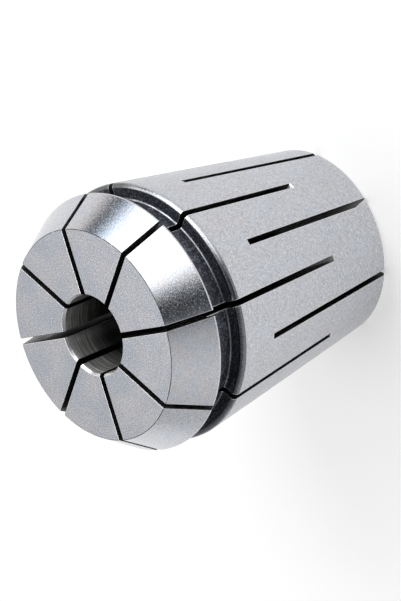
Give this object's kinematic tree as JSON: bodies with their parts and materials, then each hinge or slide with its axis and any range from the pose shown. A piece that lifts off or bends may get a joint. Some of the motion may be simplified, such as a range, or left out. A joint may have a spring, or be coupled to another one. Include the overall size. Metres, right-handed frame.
{
  "type": "er spring collet",
  "caption": "Slotted steel spring collet: long rear taper, nut groove and short front cone round a through bore that clamps a tool shank.",
  "frame": {"origin": "centre of the small rear end face, on the collet's axis", "axes": "+Z along the axis towards the nose; +X towards a slot that is sawn from the nose; +Y completes the right-handed frame"},
  "size_m": [0.033, 0.033, 0.04],
  "materials": {
    "ground_steel": "ground satin on the tapers and face, dark heat-treated steel in the groove and slots"
  },
  "bodies": {
    "root": {"collet": "ground_steel"}
  },
  "joints": []
}
